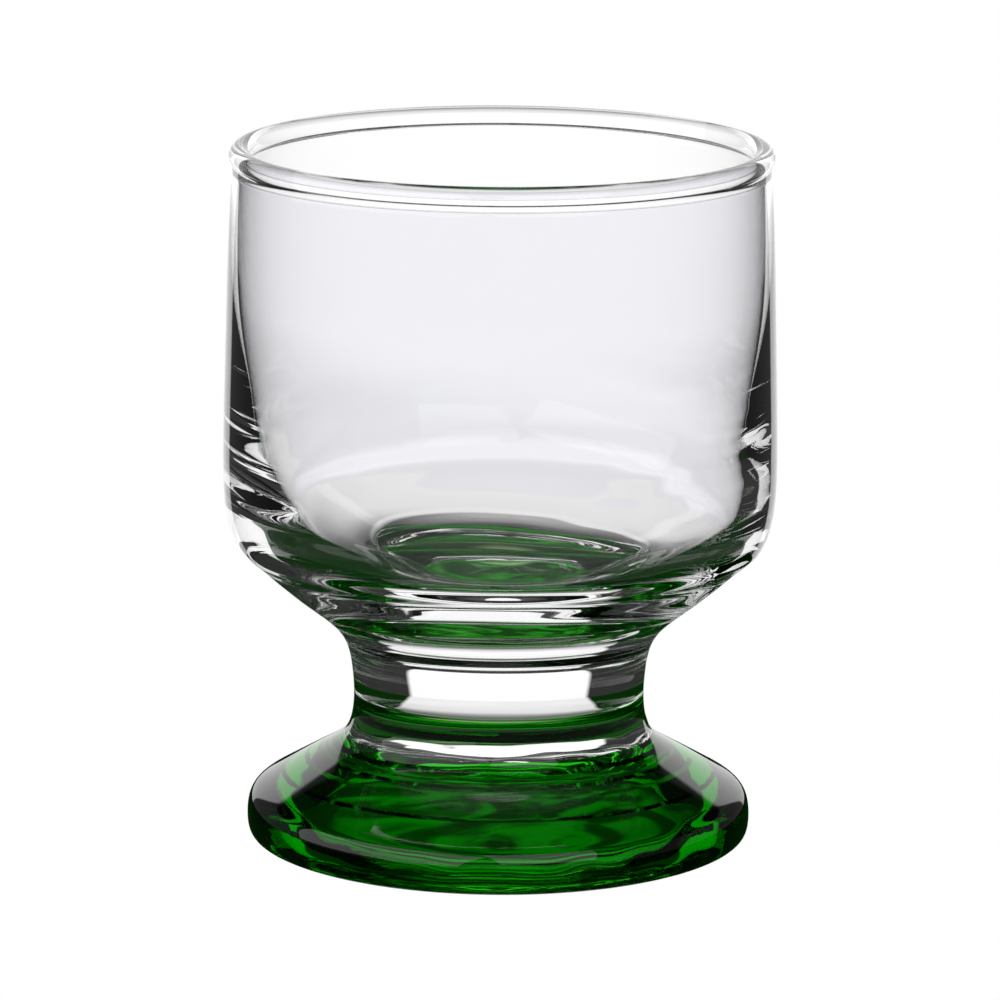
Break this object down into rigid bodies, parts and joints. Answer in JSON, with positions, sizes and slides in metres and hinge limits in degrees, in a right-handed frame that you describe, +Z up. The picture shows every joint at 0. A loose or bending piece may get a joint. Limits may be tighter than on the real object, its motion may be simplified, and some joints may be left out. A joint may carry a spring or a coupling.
{
  "type": "wine tasting glass",
  "caption": "Short footed tasting glass: clear straight-sided bowl with a beaded rim on a thick stem and a wide foot coated in translucent green, for sampling wine.",
  "frame": {"origin": "centre of the ring face that the foot rests on", "axes": "+Z up along the axis of the bowl, stem and foot; +X and +Y are alike, because the glass is round"},
  "size_m": [0.067, 0.067, 0.085],
  "materials": {
    "clear_glass": "clear, fire-polished",
    "green_coat": "translucent glossy green lacquer"
  },
  "bodies": {
    "root": {"bowl": "clear_glass", "stem_foot": "clear_glass", "colour_coat": "green_coat"}
  },
  "joints": []
}
